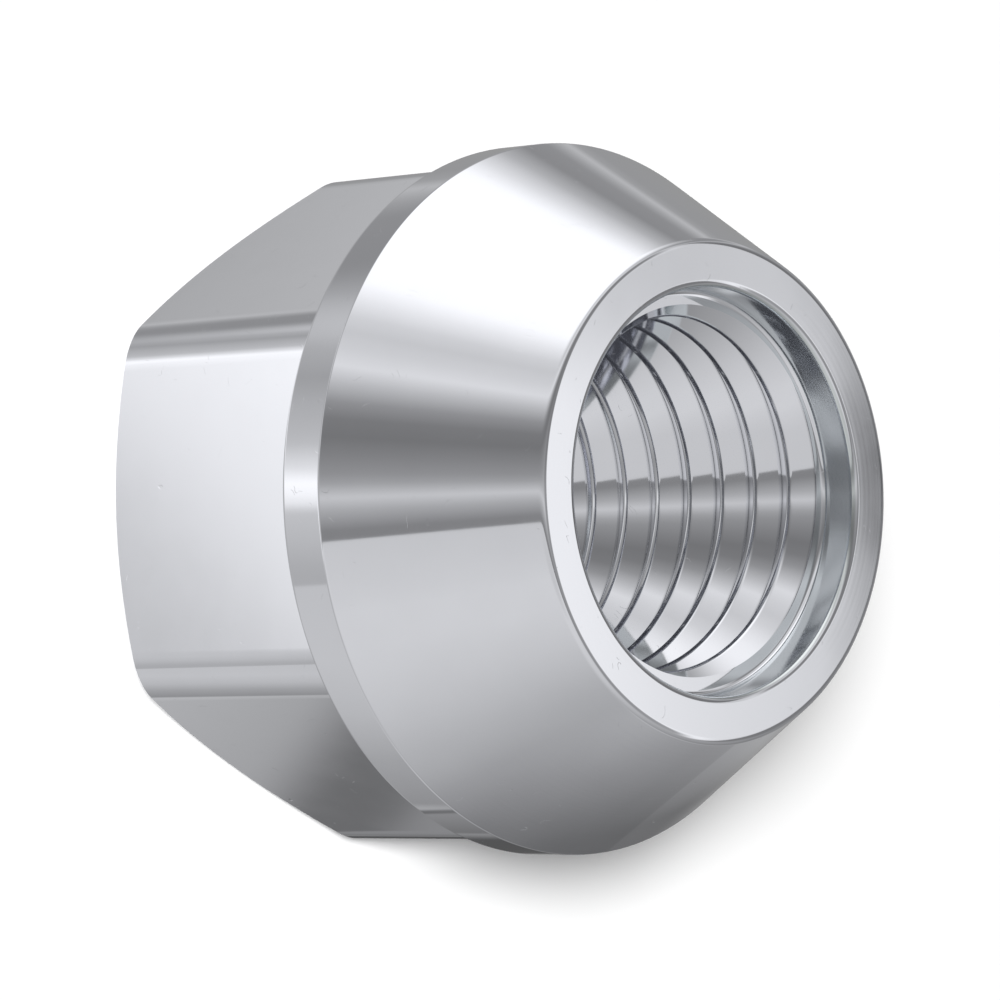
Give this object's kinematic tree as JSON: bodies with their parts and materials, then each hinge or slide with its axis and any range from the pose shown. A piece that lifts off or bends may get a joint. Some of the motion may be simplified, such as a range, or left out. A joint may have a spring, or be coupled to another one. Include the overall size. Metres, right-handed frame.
{
  "type": "lug nut",
  "caption": "Open-ended wheel lug nut with a rounded-corner hexagon, a narrow collar, a conical seat and a threaded through bore.",
  "frame": {"origin": "centre of the hex end face, which the nut stands on", "axes": "+Z along the bore from the hex end to the nose, X through two opposite corners of the hexagon, Y square to two opposite flats"},
  "size_m": [0.0224, 0.0224, 0.0175],
  "materials": {
    "plated_steel": "bright plated steel"
  },
  "bodies": {
    "root": {"lug_nut": "plated_steel"}
  },
  "joints": []
}
